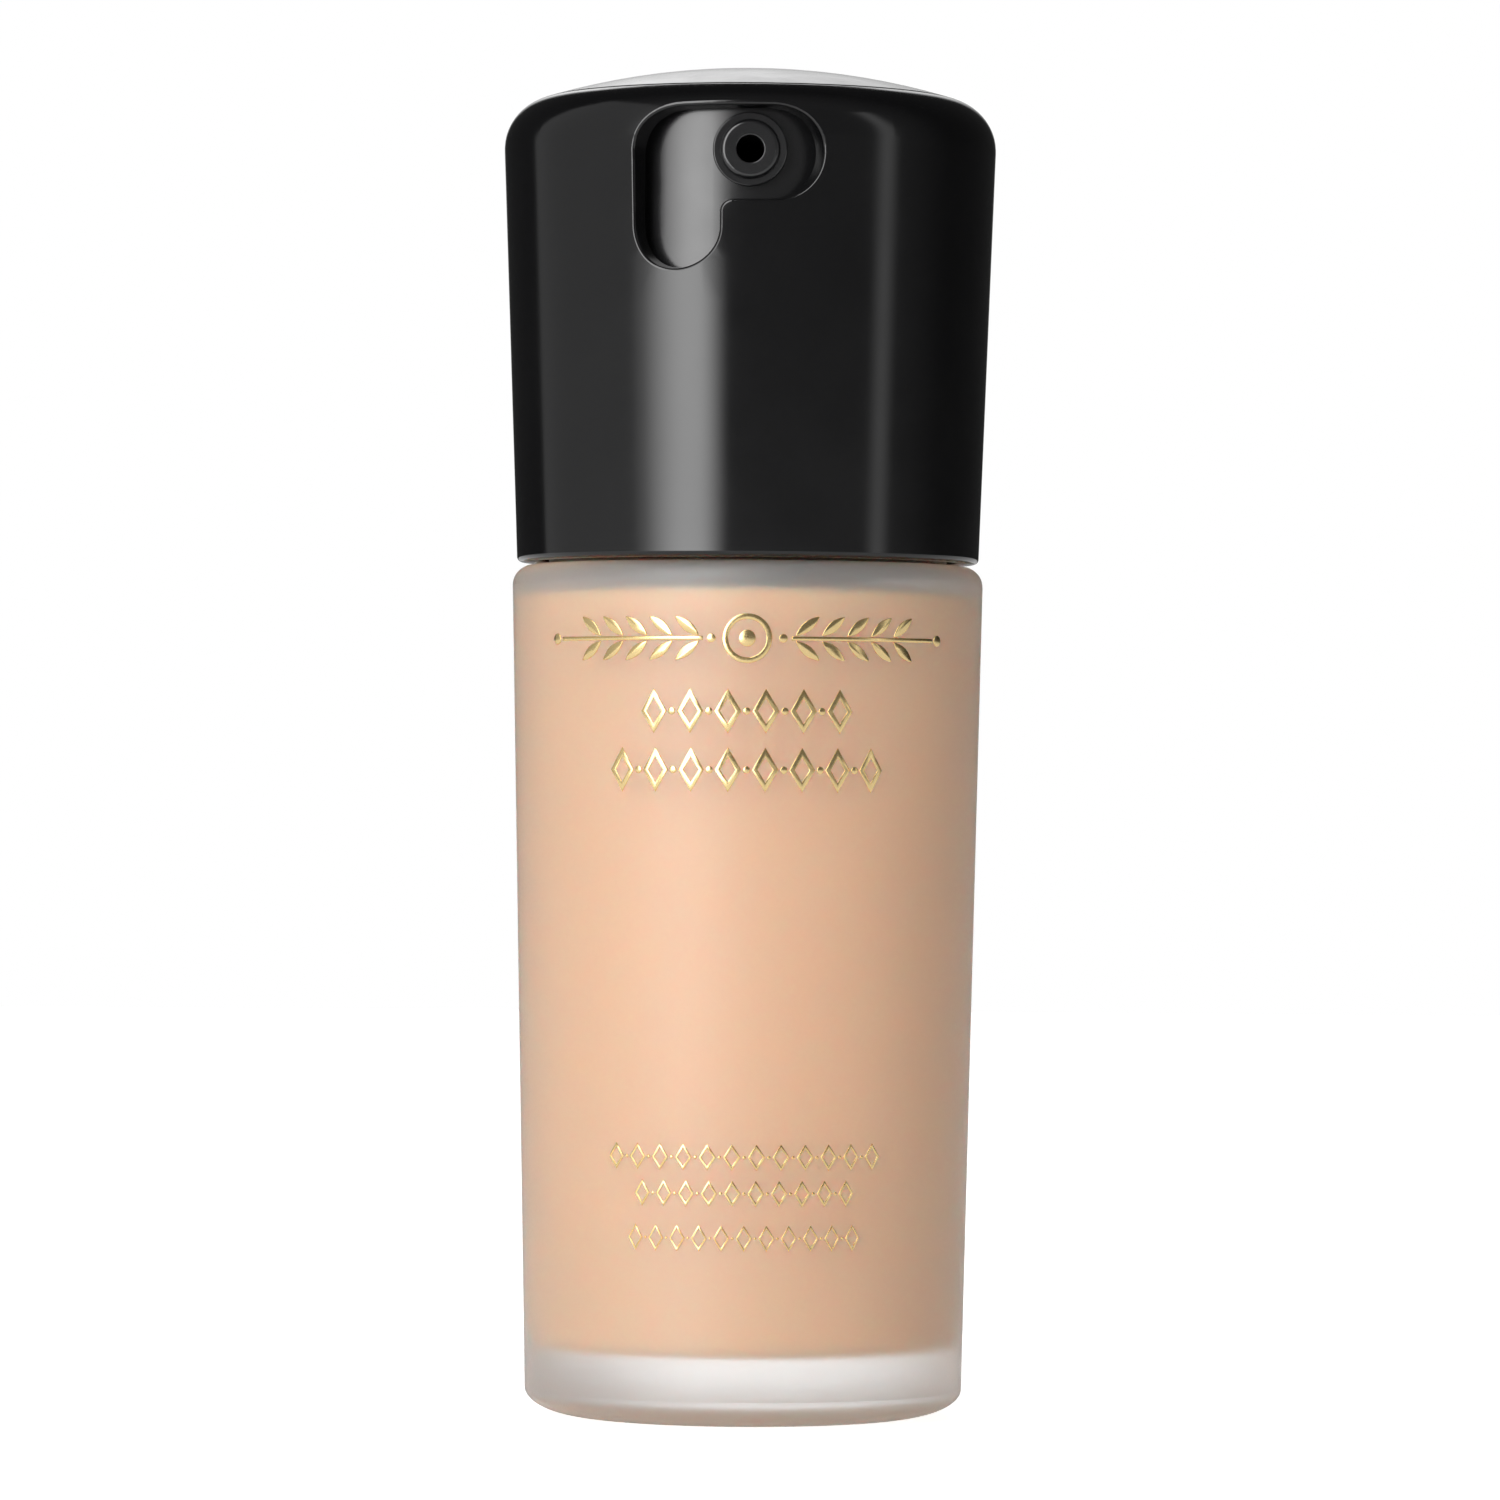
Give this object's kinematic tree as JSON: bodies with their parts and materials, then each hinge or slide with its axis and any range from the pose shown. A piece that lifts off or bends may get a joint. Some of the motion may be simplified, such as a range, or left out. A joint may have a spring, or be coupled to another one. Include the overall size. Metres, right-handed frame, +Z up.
{
  "type": "foundation bottle with twist-lock pump",
  "caption": "Tapered frosted glass makeup bottle with a domed black pump head, key-shaped nozzle window and twist lock.",
  "frame": {"origin": "centre of the bottle's base, on the plane it stands on", "axes": "+Z up along the bottle's axis, -Y towards the nozzle (the front), +X to the right seen from the front"},
  "size_m": [0.036, 0.0359, 0.0987],
  "materials": {
    "frosted_glass": "acid-etched satin glass, clear flint",
    "foundation": "opaque creamy liquid, beige",
    "elastomer": "soft foamed polyethylene disc, satin",
    "natural_pp": "natural polypropylene, translucent satin",
    "natural_pe": "natural polyethylene, waxy",
    "white_pp": "white polypropylene, satin",
    "black_pp": "black polypropylene, satin",
    "black_gloss": "black ABS, high gloss moulded",
    "black_satin": "black polypropylene, semi-gloss moulded",
    "spring_steel": "drawn stainless wire",
    "ball_steel": "polished stainless ball",
    "gold_foil": "hot-stamped bright gold foil"
  },
  "bodies": {
    "bottle": {"glass_bottle": "frosted_glass", "foundation_fill": "foundation", "neck_gasket": "elastomer", "pump_housing": "natural_pp", "dip_tube": "natural_pe", "turret_cap": "white_pp", "stem_wiper": "natural_pe", "snap_collar": "white_pp", "guide_sleeve": "black_pp", "spring_seat": "white_pp", "return_spring": "spring_steel"},
    "shell": {"outer_shell": "black_gloss", "shell_retaining_ring": "black_pp"},
    "actuator": {"press_button": "black_satin", "actuator_core": "black_pp", "nozzle_insert": "black_satin", "upper_stem": "white_pp", "piston_rod": "white_pp", "piston": "natural_pe"},
    "ball": {"check_ball": "ball_steel"}
  },
  "joints": [
    {"name": "shell_twist", "type": "hinge", "parent": "bottle", "child": "shell", "pos_m": [0, 0, 0.0655], "axis": [0, 0, 1], "range_deg": [-6, 17.4]},
    {"name": "press", "type": "slide", "parent": "bottle", "child": "actuator", "axis": [0, 0, -1], "range_m": [0, 0.0055], "stiffness_N_per_m": 600, "springref_m": -0.004, "deforming": ["return_spring"]},
    {"name": "ball_lift", "type": "slide", "parent": "bottle", "child": "ball", "axis": [0, 0, 1], "range_m": [0, 0.0009]}
  ]
}
